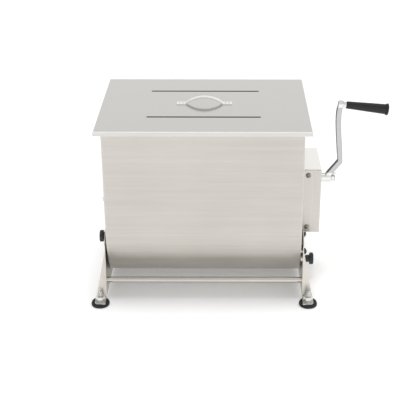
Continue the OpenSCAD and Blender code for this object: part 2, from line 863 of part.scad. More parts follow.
module at_case_screws() {
  front_and_back() for (z = [case_z0 + screw_inset, case_top - screw_inset])
    translate([screw_x, -case_y / 2, z]) rotate([90, 0, 0]) children();
}

module case_screw_holes() {
  at_case_screws() translate([0, 0, -2 * screw_d]) cylinder(h = 4 * screw_d, d = screw_d);
}

// The case's back plate on the tub's end, with side lips for the cover and a boss for the input shaft.
module gear_case_base() color(steel) in_frame() difference() {
  union() {
    translate([end_x, -lip_y, case_z0 + case_t]) cube([base_t, 2 * lip_y, case_z - 2 * case_t]);
    front_and_back() translate([end_x, -lip_y, case_z0 + case_t])
      cube([base_t + lip_w, base_t, case_z - 2 * case_t]);
    rod_x(end_x + base_t, boss_len, boss_d, 0, input_z);
  }
  rod_x(end_x - 1, base_t + 2, bearing_d, 0, axis_z);
  rod_x(end_x + base_t, boss_len + 1, input_bush_d, 0, input_z);
  case_screw_holes();
}

// The cover is a deep tray on its side, open towards the tub.
module gear_case_cover() color(steel) in_frame() difference() {
  translate([end_x + cover_gap, 0, case_z0 + case_z / 2]) rotate([0, 90, 0])
    folded_tray(case_z, case_y, case_x - cover_gap, fold_r, case_t);
  rod_x(case_face - case_t - 1, case_t + 2, input_bush_d, 0, input_z);
  case_screw_holes();
}

module gear_case_screws() color(bright) in_frame() at_case_screws() {
  length = case_t + base_t + screw_past_lip;
  translate([0, 0, -length]) cylinder(h = length, d = screw_d);
  pan_head(2.1 * screw_d, screw_head_h);
}

input_bush_d = 18;
input_bush_rim_d = 27;
input_bush_len = 6;
input_start = end_x + base_t + end_play / 2;

module input_bush_inner() color(bronze) in_frame()
  tube_x(end_x + base_t, boss_len, input_bush_d, input_d + 2 * fit, 0, input_z);

module input_bush_outer() color(bronze) in_frame() {
  tube_x(case_face - input_bush_len, input_bush_len, input_bush_d, input_d + 2 * fit, 0, input_z);
  tube_x(case_face, bush_rim, input_bush_rim_d, input_d + 2 * fit, 0, input_z);
}

// ---------------------------------------------------------------- crank

thread_d = 8;
thread_len = 8.5;

module input_shaft() color(bright) in_frame() difference() {
  union() {
    rod_x(input_start, hub_end - input_start, input_d, 0, input_z);
    rod_x(hub_end, thread_len, thread_d, 0, input_z);
  }
  translate([pinion_pin_x, 0, input_z]) cylinder(h = input_d + 2, d = pinion_pin_d, center = true);
}

function bezier(p, t) =
  pow(1 - t, 3) * p[0] + 3 * t * pow(1 - t, 2) * p[1] + 3 * t * t * (1 - t) * p[2] + pow(t, 3) * p[3];

// The arm leaves the hub at a slant, and sweeps from its elbow back to the eye along a curve whose two
// middle points pull it a little towards the tub.
arm_root = [hub_x + hub_len * 2 / 3, hub_d * 0.3];
arm_elbow = arm_root + arm_kick * [1, 1.3];
elbow_pull = 5;
eye_pull = 8;
arm_curve = [
  arm_elbow, [arm_elbow[0] - elbow_pull, crank_r * 0.6], [eye_x - eye_pull, crank_r * 0.86],
  [eye_x, crank_r]
];
curve_steps = 10;
arm_line = concat([arm_root], [for (i = [0 : curve_steps]) bezier(arm_curve, i / curve_steps)]);

function unit(v) = v / norm(v);
function normal_at(line, i) =
  let (last = len(line) - 1, d = unit(line[min(i + 1, last)] - line[max(i - 1, 0)]))
  [-d[1], d[0]];

// A flat bar kicked out at its foot and swept gently back to the eye that holds the grip.
module crank_arm() color(bright) in_frame() translate([0, 0, input_z]) difference() {
  last = len(arm_line) - 1;
  left = [for (i = [0 : last]) arm_line[i] + normal_at(arm_line, i) * arm_t / 2];
  right = [for (i = [last : -1 : 0]) arm_line[i] - normal_at(arm_line, i) * arm_t / 2];
  union() {
    rod_x(hub_x, hub_len, hub_d);
    translate([0, arm_w / 2, 0]) rotate([90, 0, 0]) linear_extrude(arm_w) polygon(concat(left, right));
    at_eye() translate([0, 0, -eye_len / 2]) cylinder(h = eye_len, d = eye_d);
  }
  rod_x(hub_x - 1, 2 * hub_len, input_d);
  at_eye() translate([0, 0, -eye_len]) cylinder(h = 2 * eye_len, d = spindle_d);
}

module at_eye() {
  translate([eye_x, 0, crank_r]) rotate([0, 90 + grip_droop, 0]) children();
}

wing_body_len = 6;
wing_body_d1 = 14;
wing_body_d2 = 11;
wing_t = 3;

// The wings spread outwards from a tapered body, so the nut can be turned by hand.
module wing_nut() color(bright) in_frame() translate([hub_end + seat, 0, input_z]) difference() {
  union() {
    rotate([0, 90, 0]) cylinder(h = wing_body_len, d1 = wing_body_d1, d2 = wing_body_d2);
    for (side = [0, 1]) mirror([0, 0, side]) translate([0, wing_t / 2, 0]) rotate([90, 0, 0])
      linear_extrude(wing_t) polygon(wing_body_len * [
        [0.13, 0.67], [0.25, 1.13], [1.25, 1.83], [1.67, 1.67], [1.6, 1.27], [0.83, 0.67]
      ]);
  }
  rod_x(-1, 2 * wing_body_len, thread_d + 2 * fit);
}

head_len = 3;
head_d = 13;
head_sunk = 1;
head_gap = 0.4;
head_z = grip_len - head_len - head_sunk;
spindle_collar_d = 11.5;

// A shouldered axle riveted into the crank's eye: a collar, the grip's bearing length and a flat head.
module grip_spindle() color(bright) in_frame() translate([0, 0, input_z]) at_eye() {
  translate([0, 0, -eye_len / 2]) cylinder(h = eye_len / 2 + grip_start + head_z, d = spindle_d);
  translate([0, 0, eye_len / 2]) cylinder(h = collar_len - head_gap, d = spindle_collar_d);
  translate([0, 0, grip_start + head_z]) cylinder(h = head_len, d = head_d);
}

grip_flange_len = 5;
grip_neck = 1.5;

// A tapered handle with a rolled end flange, turning freely on the spindle.
module grip() color(black) in_frame() translate([0, 0, input_z]) at_eye() translate([0, 0, grip_start])
  rotate_extrude() difference() {
    bore_r = spindle_d / 2 + fit;
    flange_z = grip_len - grip_flange_len;
    polygon([
      [bore_r, 0], [grip_d1 / 2 - grip_edge, 0], [grip_d1 / 2, grip_edge],
      [grip_d2 / 2, flange_z - grip_neck], [grip_rim_r, flange_z],
      [grip_flange_d / 2, flange_z + grip_edge], [grip_flange_d / 2, grip_len - grip_edge],
      [grip_rim_r, grip_len], [bore_r, grip_len]
    ]);
    translate([0, head_z - head_gap]) square([head_d / 2 + head_gap, grip_len]);
  }

side_plate_left();
side_plate_right();
front_crossbar();
rear_crossbar();
rubber_feet();
foot_studs();
foot_washers();
foot_nuts();
pivot_bushes();
guide_buttons();
stop_bolt();
stop_bolt_cap();
lock_bush();
lock_screw();
lock_knob();
tub_shell();
end_plate_left();
end_plate_right();
pivot_studs();
pivot_spacers();
pivot_knob();
stop_lug();
lid_sheet();
lid_handle();
bearing_housing();
bearing_screws();
tail_bush();
journal_bush();
shaft_seals();
paddle_shaft();
paddle_arms();
paddle_blades();
tail_screw();
tail_washer();
drive_gear();
gear_pin();
gear_case_base();
gear_case_cover();
gear_case_screws();
input_bush_inner();
input_bush_outer();
input_shaft();
pinion();
pinion_pin();
crank_arm();
wing_nut();
grip_spindle();
grip();
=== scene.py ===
"""Finishes, rounded edges, threads and welds for a hand-cranked tilting meat mixer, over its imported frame."""
import math

import bmesh
import bpy
from bpy.props import FloatProperty, FloatVectorProperty, PointerProperty
from mathutils import Matrix, Vector


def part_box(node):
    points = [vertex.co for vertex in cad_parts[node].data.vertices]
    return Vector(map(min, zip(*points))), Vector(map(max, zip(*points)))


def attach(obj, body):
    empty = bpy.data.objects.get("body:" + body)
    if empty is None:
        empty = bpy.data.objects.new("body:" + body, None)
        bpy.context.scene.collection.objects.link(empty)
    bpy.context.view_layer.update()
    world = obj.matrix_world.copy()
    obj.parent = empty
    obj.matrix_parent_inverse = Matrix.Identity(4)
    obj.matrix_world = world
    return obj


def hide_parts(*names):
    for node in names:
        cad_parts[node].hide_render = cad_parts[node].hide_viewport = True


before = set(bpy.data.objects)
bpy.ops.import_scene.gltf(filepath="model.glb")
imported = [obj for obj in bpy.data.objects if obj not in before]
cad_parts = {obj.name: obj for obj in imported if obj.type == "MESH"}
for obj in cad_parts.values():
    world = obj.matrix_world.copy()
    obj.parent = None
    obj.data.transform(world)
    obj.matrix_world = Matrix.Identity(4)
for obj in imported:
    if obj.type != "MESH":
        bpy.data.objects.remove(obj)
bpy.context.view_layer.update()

bl_info = {
    "name": "Tilting Meat Mixer",
    "version": (1, 0, 0),
    "blender": (4, 5, 0),
    "location": "View3D > Sidebar > Mixer",
    "description": "Dresses the mixer's frame in brushed steel, zinc, bronze, rubber and moulded plastic",
    "category": "Object",
}

X, Z = Vector((1, 0, 0)), Vector((0, 0, 1))

# How much of a surface's normal lies along an axis, where the painted light and shade of folds, tops and flanks starts
# and ends fading in
LEAVES_WALL, NEARLY_FLAT, FACES_UP, TURNS_ASIDE = (0.10, 0.35), (0.93, 0.99), (0.6, 0.95), (0.98, 0.80)


# ---------------------------------------------------------------- sizes and colours


class MixerMetal(bpy.types.PropertyGroup):
    """Colours and edge sizes of the sheet, the turned pieces and the fasteners."""

    tub_colour: FloatVectorProperty(
        name="Tub sheet", description="Colour of the tub's and the gear case's brushed sheet, and of the end plates",
        subtype="COLOR", size=3, min=0, max=1, default=(0.60, 0.576, 0.532),
    )
    # Painted light and shade on one sheet: the lid's top is painted darker than its lip as shade, and its fold near
    # white as a painted highlight.
    shaded_lid_top_colour: FloatVectorProperty(
        name="Lid sheet", description="Colour of the lid's top",
        subtype="COLOR", size=3, min=0, max=1, default=(0.565, 0.555, 0.53),
    )
    lit_lip_colour: FloatVectorProperty(
        name="Lid lip", description="Colour of the lid's folded lip",
        subtype="COLOR", size=3, min=0, max=1, default=(0.64, 0.626, 0.597),
    )
    fold_highlight_colour: FloatVectorProperty(
        name="Lid fold", description="Colour of the rubbed fold round the lid",
        subtype="COLOR", size=3, min=0, max=1, default=(0.97, 0.955, 0.93),
    )
    strap_colour: FloatVectorProperty(
        name="Lid handle", description="Colour of the lid's strap handle and its spot welds",
        subtype="COLOR", size=3, min=0, max=1, default=(0.85, 0.84, 0.81),
    )
    stand_colour: FloatVectorProperty(
        name="Stand sheet", description="Colour of the side plates, the lock bush and the bars' weld beads",
        subtype="COLOR", size=3, min=0, max=1, default=(0.675, 0.641, 0.588),
    )
    bar_colour: FloatVectorProperty(
        name="Cross bars", description="Colour of the stand's cross bars",
        subtype="COLOR", size=3, min=0, max=1, default=(0.62, 0.59, 0.545),
    )
    shaft_colour: FloatVectorProperty(
        name="Turned steel", description="Colour of the shafts, gears, paddles, pivot studs and far bearing",
        subtype="COLOR", size=3, min=0, max=1, default=(0.62, 0.61, 0.60),
    )
    crank_colour: FloatVectorProperty(
        name="Crank", description="Colour of the crank's satin-chromed hub, eye, spindle and wing nut",
        subtype="COLOR", size=3, min=0, max=1, default=(0.84, 0.84, 0.83),
    )
    zinc_colour: FloatVectorProperty(
        name="Zinc", description="Colour of the zinc-plated studs, nuts, washers, bolts and pins",
        subtype="COLOR", size=3, min=0, max=1, default=(0.82, 0.83, 0.80),
    )
    # Painted light: the gear case's top is painted brighter than its walls, standing for the light that falls on it.
    lit_case_top_colour: FloatVectorProperty(
        name="Gear case top", description="Colour of the gear case's brighter top, brushed from front to back",
        subtype="COLOR", size=3, min=0, max=1, default=(0.89, 0.875, 0.835),
    )
    arm_colour: FloatVectorProperty(
        name="Crank arm", description="Colour of the crank's forged arm, between its hub and its eye",
        subtype="COLOR", size=3, min=0, max=1, default=(0.54, 0.54, 0.545),
    )
    # Painted shade: the crank arm's sides are painted dark, standing for the shade they face towards the tub.
    flank_shade_colour: FloatVectorProperty(
        name="Crank flanks", description="Colour of the arm's duller sides",
        subtype="COLOR", size=3, min=0, max=1, default=(0.27, 0.27, 0.275),
    )
    # Painted shade: the screws are coloured dark brown, standing for the dark their domed heads reflect and the shade
    # in their recesses.
    shaded_screw_colour: FloatVectorProperty(
        name="Screws", description="Colour of the gear case's screws",
        subtype="COLOR", size=3, min=0, max=1, default=(0.33, 0.29, 0.25),
    )
    bronze_colour: FloatVectorProperty(
        name="Bronze", description="Colour of the bushes, spacers and guide buttons",
        subtype="COLOR", size=3, min=0, max=1, default=(0.22, 0.145, 0.10),
    )
    fold: FloatProperty(
        name="Sheet edges", description="The sheet's sharp edges are rounded over half of this",
        subtype="DISTANCE", unit="LENGTH", min=0.0002, max=0.003, default=0.0011,
    )
    bead: FloatProperty(
        name="Weld bead", description="Radius of the weld beads round the bars and paddle arms",
        subtype="DISTANCE", unit="LENGTH", min=0.0005, max=0.003, default=0.0015,
    )
    pitch: FloatProperty(
        name="Thread pitch", description="Pitch of the foot studs' threads",
        subtype="DISTANCE", unit="LENGTH", min=0.0008, max=0.003, default=0.0015,
    )


class MixerPlastic(bpy.types.PropertyGroup):
    """Colours of the moulded pieces."""

    grip_colour: FloatVectorProperty(
        name="Grip", description="Colour of the crank's grip",
        subtype="COLOR", size=3, min=0, max=1, default=(0.013, 0.013, 0.0135),
    )
    knob_colour: FloatVectorProperty(
        name="Knobs", description="Colour of the hand knobs and the stop bolt's cap",
        subtype="COLOR", size=3, min=0, max=1, default=(0.016, 0.016, 0.017),
    )
    rubber_colour: FloatVectorProperty(
        name="Rubber", description="Colour of the feet and the shaft seals",
        subtype="COLOR", size=3, min=0, max=1, default=(0.016, 0.016, 0.017),
    )


class MixerStage(bpy.types.PropertyGroup):
    """The floor, the light and the camera."""

    floor_colour: FloatVectorProperty(
        name="Floor", description="Colour of the floor",
        subtype="COLOR", size=3, min=0, max=1, default=(0.93, 0.93, 0.935),
    )
    ceiling: FloatProperty(
        name="Ceiling", description="Brightness of the room overhead", min=0, max=1, default=0.55,
    )
    shade: FloatProperty(
        name="Shaded side", description="Brightness of the room to the left of the machine", min=0, max=1, default=0.6,
    )
    panel: FloatProperty(
        name="Light panel", description="Added brightness of the panel straight overhead", min=0, max=10, default=0.8,
    )
    key: FloatProperty(
        name="Key light", description="Strength of the soft light straight over the machine",
        min=0, max=10, default=1.1,
    )
    key_spread: FloatProperty(
        name="Key spread", description="Angle that the soft light over the machine fills",
        subtype="ANGLE", unit="ROTATION", min=0, max=math.pi, default=math.radians(15),
    )
    floor_glow: FloatProperty(
        name="Floor glow", description="Brightness added to the floor where it is seen", min=0, max=1, default=0.15,
    )
    lens: FloatProperty(
        name="Lens", description="Focal length on a 36 mm sensor",
        subtype="DISTANCE_CAMERA", unit="CAMERA", min=20, max=300, default=91.16,
    )
    camera_place: FloatVectorProperty(
        name="Camera", description="Where the camera stands",
        subtype="TRANSLATION", unit="LENGTH", size=3, default=(-0.02665, -1.990899, 1.089942),
    )
    camera_pitch: FloatProperty(
        name="Camera pitch", description="Angle of the camera from straight down",
        subtype="ANGLE", unit="ROTATION", min=0, max=math.pi, default=math.radians(65.092),
    )
    camera_shift: FloatProperty(
        name="Camera shift", description="Sideways shift of the frame, as a part of its width",
        min=-1, max=1, default=-0.0676,
    )
    camera_roll: FloatProperty(
        name="Camera roll", description="Turn of the camera round its own line of sight",
        subtype="ANGLE", unit="ROTATION", min=-math.pi, max=math.pi, default=math.radians(0.10),
    )


# ---------------------------------------------------------------- material building


class Nodes:
    """Builds one material's node tree round its Principled shader."""

    def __init__(self, name, metallic, colour, roughness, **sockets):
        self.material = bpy.data.materials.new(name)
        self.material.use_nodes = True
        self.tree = self.material.node_tree
        self.shader = self.tree.nodes["Principled BSDF"]
        self.shader.inputs["Metallic"].default_value = metallic
        self.shader.inputs["Base Color"].default_value = (*colour, 1)
        self.shader.inputs["Roughness"].default_value = roughness
        for key, value in sockets.items():
            self.shader.inputs[key.replace("_", " ")].default_value = value
        self.material.diffuse_color = (*colour, 1)
        self.colour = tuple(colour)
        self.place = self.add("ShaderNodeTexCoord").outputs["Object"]
        self.height = None

    def add(self, kind, **settings):
        """A new node with its settings."""
        node = self.tree.nodes.new(kind)
        for key, value in settings.items():
            setattr(node, key, value)
        return node

    def join(self, source, socket):
        """Links one node's output to a socket."""
        self.tree.links.new(source, socket)

    def noise(self, scale, detail=3.0, rough=0.55):
        """Noise whose features are 1 / scale metres wide, with one scale or one each along X, Y and Z."""
        mapping = self.add("ShaderNodeMapping")
        mapping.inputs["Scale"].default_value = scale if isinstance(scale, tuple) else (scale,) * 3
        self.join(self.place, mapping.inputs["Vector"])
        noise = self.add("ShaderNodeTexNoise")
        noise.inputs["Scale"].default_value = 1
        noise.inputs["Detail"].default_value = detail
        noise.inputs["Roughness"].default_value = rough
        self.join(mapping.outputs["Vector"], noise.inputs["Vector"])
        return noise.outputs["Fac"]

    def span(self, value, low, high, start=0.25, end=0.75):
        """Maps value from start..end to low..high."""
        node = self.add("ShaderNodeMapRange")
        node.inputs["From Min"].default_value, node.inputs["From Max"].default_value = start, end
        node.inputs["To Min"].default_value, node.inputs["To Max"].default_value = low, high
        self.join(value, node.inputs["Value"])
        return node.outputs["Result"]

    def maths(self, kind, first, second):
        """One sum of two values, each a number or a node's output."""
        node = self.add("ShaderNodeMath", operation=kind)
        for socket, value in zip(node.inputs, (first, second)):
            if isinstance(value, (int, float)):
                socket.default_value = value
            else:
                self.join(value, socket)
        return node.outputs["Value"]

    def shade(self, *factors):
        """Multiplies the base colour by each factor."""
        total = factors[0]
        for factor in factors[1:]:
            total = self.maths("MULTIPLY", total, factor)
        scaled = self.add("ShaderNodeVectorMath", operation="SCALE")
        scaled.inputs[0].default_value = self.colour
        self.join(total, scaled.inputs["Scale"])
        self.join(scaled.outputs["Vector"], self.shader.inputs["Base Color"])

    def wear_and_highlight_edges(self, radius):
        """0 on open faces and 1 along outer and inner edges, which the finishes brighten partly as wear and partly as
        a painted highlight.
        """
        flat, edge = 0.012, 0.10
        bevel = self.add("ShaderNodeBevel", samples=4)
        bevel.inputs["Radius"].default_value = radius
        geometry = self.add("ShaderNodeNewGeometry")
        dot = self.add("ShaderNodeVectorMath", operation="DOT_PRODUCT")
        self.join(bevel.outputs["Normal"], dot.inputs[0])
        self.join(geometry.outputs["Normal"], dot.inputs[1])
        return self.span(self.maths("SUBTRACT", 1, dot.outputs["Value"]), 0, 1, flat, edge)

    def painted_corner_shade(self, reach, dark):
        """1 in the open and dark in corners, as painted shade from ambient occlusion."""
        closed, open_air = 0.2, 0.9
        occlusion = self.add("ShaderNodeAmbientOcclusion", samples=6)
        occlusion.inputs["Distance"].default_value = reach
        return self.span(occlusion.outputs["AO"], dark, 1, closed, open_air)

    def facing(self, axis, low, high):
        """0 to 1 as the surface's own normal turns from low to high along one axis."""
        texture = self.add("ShaderNodeTexCoord")
        split = self.add("ShaderNodeSeparateXYZ")
        self.join(texture.outputs["Normal"], split.inputs["Vector"])
        return self.span(self.maths("ABSOLUTE", split.outputs[axis], 0), 0, 1, low, high)

    def between(self, low, high):
        """1 between two heights, fading out just past them."""
        blur = 0.002
        split = self.add("ShaderNodeSeparateXYZ")
        self.join(self.place, split.inputs["Vector"])
        above = self.span(split.outputs["Z"], 0, 1, low - blur, low)
        return self.maths("MULTIPLY", above, self.span(split.outputs["Z"], 1, 0, high, high + blur))

    def tint(self, share, colour):
        """Fades the base colour to another one."""
        source = self.shader.inputs["Base Color"].links[0].from_socket
        mix = self.add("ShaderNodeMix", data_type="RGBA")
        self.join(share, mix.inputs["Factor"])
        self.join(source, mix.inputs[6])
        mix.inputs[7].default_value = (*colour, 1)
        self.join(mix.outputs[2], self.shader.inputs["Base Color"])

    def bump(self, value, depth, strength):
        """Adds relief of a depth in metres, over what is there already."""
        node = self.add("ShaderNodeBump")
        node.inputs["Strength"].default_value = strength
        node.inputs["Distance"].default_value = depth
        self.join(value, node.inputs["Height"])
        if self.height is not None:
            self.join(self.height, node.inputs["Normal"])
        self.height = node.outputs["Normal"]
        self.join(self.height, self.shader.inputs["Normal"])

    def vary(self, value, low, high):
        """Lets the roughness run from low to high with value."""
        self.join(self.span(value, low, high), self.shader.inputs["Roughness"])


GRAIN = {"x": (0, 1, 1), "y": (1, 0, 1), "z": (1, 1, 0), "yz": (1, 0, 0)}


def along(grain, across, length):
    """Noise scale of streaks that run along one axis."""
    return tuple(across if turn else length for turn in GRAIN[grain])


def brushed_sheet(name, colour, grain, roughness=0.24, corner_shade=0.80, reach=0.010, top=None, fold=None,
                  wave=0.0012, **sockets):
    """Belt-brushed sheet: fine lines one way, slow waves in the sheet, and edges brightened, partly as rubbing and
    partly as a painted highlight.

    Within reach of corners the colour falls to the given corner shade times itself, as painted shade. Faces that look
    up take the colour top, a painted tone: shade on the lid's top, light on the gear case's top. Folds between them
    and the walls take the colour fold, a painted highlight.
    """
    m = Nodes(name, 1.0, colour, roughness, **sockets)
    fine = m.noise(along(grain, across=1900, length=16), detail=4, rough=0.6)
    broad = m.noise(along(grain, across=150, length=3))
    cloudy = m.noise(5.5, detail=2)
    worn_and_highlit = m.wear_and_highlight_edges(0.0016)
    m.shade(
        m.span(fine, 0.94, 1.06), m.span(broad, 0.955, 1.045), m.span(cloudy, 0.955, 1.045),
        m.span(worn_and_highlit, 1.0, 1.12, start=0, end=1), m.painted_corner_shade(reach, dark=corner_shade),
    )
    # The fold colour is a painted highlight; the top colour paints shade on the lid's top and light on the gear case's
    # top.
    if fold is not None:
        m.tint(m.facing("Z", *LEAVES_WALL), fold)
    if top is not None:
        m.tint(m.facing("Z", *(FACES_UP if fold is None else NEARLY_FLAT)), top)
    mixed = m.maths("ADD", m.maths("MULTIPLY", fine, 0.6), m.maths("MULTIPLY", cloudy, 0.4))
    m.vary(mixed, roughness - 0.05, roughness + 0.07)
    m.bump(cloudy, depth=wave, strength=0.3)
    m.bump(fine, depth=0.00004, strength=0.5)
    return m.material


def turned_steel(name, colour):
    """Turned and milled steel: rings round the shaft's axis and light handling marks."""
    m = Nodes(name, 1.0, colour, roughness=0.28)
    rings = m.noise((1400, 60, 60), rough=0.6)
    cloudy = m.noise(40)
    # Corners darkened as painted shade.
    m.shade(m.span(rings, 0.93, 1.06), m.span(cloudy, 0.96, 1.03), m.painted_corner_shade(0.006, dark=0.72))
    m.vary(cloudy, 0.22, 0.36)
    m.bump(rings, depth=0.00003, strength=0.6)
    return m.material


def satin_chrome(name, colour, arm=None, flank_shade=None, reach=None):
    """Satin chrome; between the two heights in reach, the forged arm is greyer, and its flanks are painted dark as
    shade.
    """
    m = Nodes(name, 1.0, colour, roughness=0.2, Specular_Tint=(0.3, 0.3, 0.3, 1))
    waves = m.noise((95, 95, 60), detail=2)
    cloudy = m.noise(30)
    specks = m.noise(2600, detail=2)
    # Edges brightened partly as wear and partly as a painted highlight; corners darkened as painted shade.
    worn_and_highlit = m.wear_and_highlight_edges(0.0014)
    m.shade(m.span(cloudy, 0.95, 1.03), m.span(worn_and_highlit, 1.0, 1.1, start=0, end=1), m.painted_corner_shade(0.006, dark=0.6))
    m.vary(cloudy, 0.15, 0.28)
    if reach is not None:
        along_arm = m.between(*reach)
        m.tint(along_arm, arm)
        # Painted shade on the arm's sides.
        m.tint(m.maths("MULTIPLY", along_arm, m.facing("Y", *TURNS_ASIDE)), flank_shade)
    m.bump(waves, depth=0.0007, strength=0.4)
    m.bump(specks, depth=0.00002, strength=0.3)
    return m.material


def bright_zinc(name, colour):
    """Bright zinc plate with a faint uneven bloom."""
    m = Nodes(name, 1.0, colour, roughness=0.3)
    bloom = m.noise(160, detail=4, rough=0.65)
    grain = m.noise(2200, detail=2)
    # Edges brightened partly as wear and partly as a painted highlight; corners darkened as painted shade.
    worn_and_highlit = m.wear_and_highlight_edges(0.0008)
    m.shade(m.span(bloom, 0.88, 1.06), m.span(worn_and_highlit, 1.0, 1.1, start=0, end=1), m.painted_corner_shade(0.004, dark=0.6))
    m.vary(bloom, 0.22, 0.4)
    m.bump(grain, depth=0.00003, strength=0.4)
    return m.material


def sintered_bronze(name, colour):
    """Porous bronze, darker where oil has soaked in."""
    m = Nodes(name, 0.9, colour, roughness=0.48)
    oil = m.noise(120)
    pores = m.noise(3000, rough=0.7)
    m.shade(m.span(oil, 0.72, 1.12), m.span(pores, 0.85, 1.08))
    m.vary(oil, 0.36, 0.58)
    m.bump(pores, depth=0.00006, strength=0.7)
    return m.material


def moulded_plastic(name, colour, roughness, grain=2400, gloss=0.5):
    """Injection-moulded plastic with a fine spark-eroded grain and edges brightened, partly as polish from hands and
    partly as a painted highlight.
    """
    m = Nodes(name, 0.0, colour, roughness, Specular_IOR_Level=gloss)
    speckle = m.noise(grain, rough=0.6)
    handled = m.noise(60)
    worn_and_highlit = m.wear_and_highlight_edges(0.0009)
    m.shade(m.span(handled, 0.85, 1.2), m.span(worn_and_highlit, 1.0, 1.8, start=0, end=1))
    m.vary(handled, roughness - 0.06, roughness + 0.08)
    m.bump(speckle, depth=0.00005, strength=0.5)
    return m.material


def moulded_rubber(name, colour):
    """Dull rubber with a bloom of dust on it."""
    m = Nodes(name, 0.0, colour, roughness=0.7, Specular_IOR_Level=0.35)
    dust = m.noise((90, 90, 140), detail=4, rough=0.65)
    grain = m.noise(1500)
    m.shade(m.span(dust, 0.75, 1.9, start=0.3, end=0.85), m.span(grain, 0.92, 1.1))
    m.vary(dust, 0.62, 0.82)
    m.bump(grain, depth=0.00008, strength=0.6)
    return m.material


# ---------------------------------------------------------------- dressing the frame's own pieces


def dress(material, *names):
    """Gives a frame node, or several, one finish."""
    for name in names:
        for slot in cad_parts[name].material_slots:
            slot.material = material


def soften(width, *names):
    """Rounds the sharp edges of frame nodes without touching their meshes."""
    joined, level, sharp = 2e-6, math.radians(0.5), math.radians(35)
    for name in names:
        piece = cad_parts[name]
        weld = piece.modifiers.new("Joined faces", "WELD")
        weld.merge_threshold = joined
        clean = piece.modifiers.new("Whole faces", "DECIMATE")
        clean.decimate_type = "DISSOLVE"
        clean.angle_limit = level
        bevel = piece.modifiers.new("Rounded edges", "BEVEL")
        bevel.width = width
        bevel.segments = 2
        bevel.limit_method = "ANGLE"
        bevel.angle_limit = sharp
        bevel.harden_normals = True


def forge(name, step, passes):
    """Rounds a whole frame node like a forging, without touching its mesh."""
    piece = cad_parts[name]
    skin = piece.modifiers.new("Even skin", "REMESH")
    skin.mode, skin.voxel_size, skin.use_smooth_shade = "VOXEL", step, True
    smooth = piece.modifiers.new("Forged edges", "SMOOTH")
    smooth.factor, smooth.iterations = 0.5, passes


# ---------------------------------------------------------------- pieces of their own


def new_piece(name, verts, faces, material, body, slot, replaces=()):
    """Links a smooth-shaded mesh to the scene, finishes it and lets it ride on its body."""
    mesh = bpy.data.meshes.new(name)
    mesh.from_pydata([tuple(v) for v in verts], [], faces)
    mesh.validate()
    tidy = bmesh.new()
    tidy.from_mesh(mesh)
    bmesh.ops.recalc_face_normals(tidy, faces=tidy.faces)
    tidy.to_mesh(mesh)
    tidy.free()
    for polygon in mesh.polygons:
        polygon.use_smooth = True
    mesh.materials.append(material)
    piece = bpy.data.objects.new(name, mesh)
    bpy.context.scene.collection.objects.link(piece)
    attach(piece, body)
    if replaces:
        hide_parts(*replaces)


def grid_faces(rings, around, closed=False):
    """Faces between neighbouring rings of points; closed joins the last ring to the first."""
    faces = []
    for ring in range(rings if closed else rings - 1):
        low, high = ring * around, (ring + 1) % rings * around
        for i in range(around):
            j = (i + 1) % around
            faces.append((low + i, low + j, high + j, high + i))
    return faces


def threaded_rod(foot, radius, length, pitch, plain):
    """A rod along Z with a plain root and a rolled thread above it, chamfered at its top."""
    depth, chamfer, steps, around = pitch * 0.55, pitch * 0.8, 6, 28
    steep, crest = 1.4, 0.2
    heights = [0, plain * 0.98]
    count = int((length - plain) / pitch * steps)
    heights += [plain + (length - plain) * k / count for k in range(count + 1)]
    verts = []
    for z in heights:
        for i in range(around):
            turn = i / around
            wave = abs(2 * ((z / pitch - turn) % 1) - 1)
            r = radius if z < plain else radius - depth * min(1, max(0, steep * wave - crest))
            r = min(r, radius - max(0, z - length + chamfer))
            verts.append(foot + Vector((math.cos(math.tau * turn) * r, math.sin(math.tau * turn) * r, z)))
    faces = grid_faces(len(heights), around)
    faces.append(tuple(range(around))[::-1])
    faces.append(tuple(len(verts) - around + i for i in range(around)))
    return verts, faces


def weld_bead(path, outward, radius):
    """A closed rippled bead along a ring of points; outward gives the way it bulges at each point."""
    ripple, spacing, around = 0.16, 4, 8
    verts, count = [], len(path)
    for k, point in enumerate(path):
        run = (path[(k + 1) % count] - path[k - 1]).normalized()
        out = outward[k].normalized()
        side = run.cross(out)
        swell = radius * (1 + ripple * math.sin(k * math.tau / spacing))
        for i in range(around):
            a = math.tau * i / around
            verts.append(point + out * math.cos(a) * swell + side * math.sin(a) * swell)
    return verts, grid_faces(count, around, closed=True)


def gather(parts):
    """Joins several (verts, faces) into one."""
    verts, faces = [], []
    for more, theirs in parts:
        faces += [tuple(i + len(verts) for i in face) for face in theirs]
        verts += more
    return verts, faces


def middle(name):
    """The middle of a frame node's box."""
    low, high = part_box(name)
    return (low + high) / 2


class MixerOperator:
    """What all the mixer's operators share."""

    bl_options = {"REGISTER", "UNDO"}


class MIXER_OT_tub(MixerOperator, bpy.types.Operator):
    """Finishes the tub: its folded sheet, its two end plates and the stop lug"""

    bl_idname = "mixer.tub"
    bl_label = "Tub"

    def execute(self, context):
        metal = context.scene.mixer_metal
        edge_tint = (0.9, 0.89, 0.87, 1)
        walls = brushed_sheet(
            "Tub sheet", metal.tub_colour, "x", roughness=0.38, corner_shade=0.5, reach=0.006, Specular_Tint=edge_tint,
        )
        dress(walls, "tub_shell")
        dress(brushed_sheet("Tub end sheet", metal.tub_colour, "y"), "end_plate_left", "end_plate_right", "stop_lug")
        soften(metal.fold * 0.5, "stop_lug")
        return {"FINISHED"}


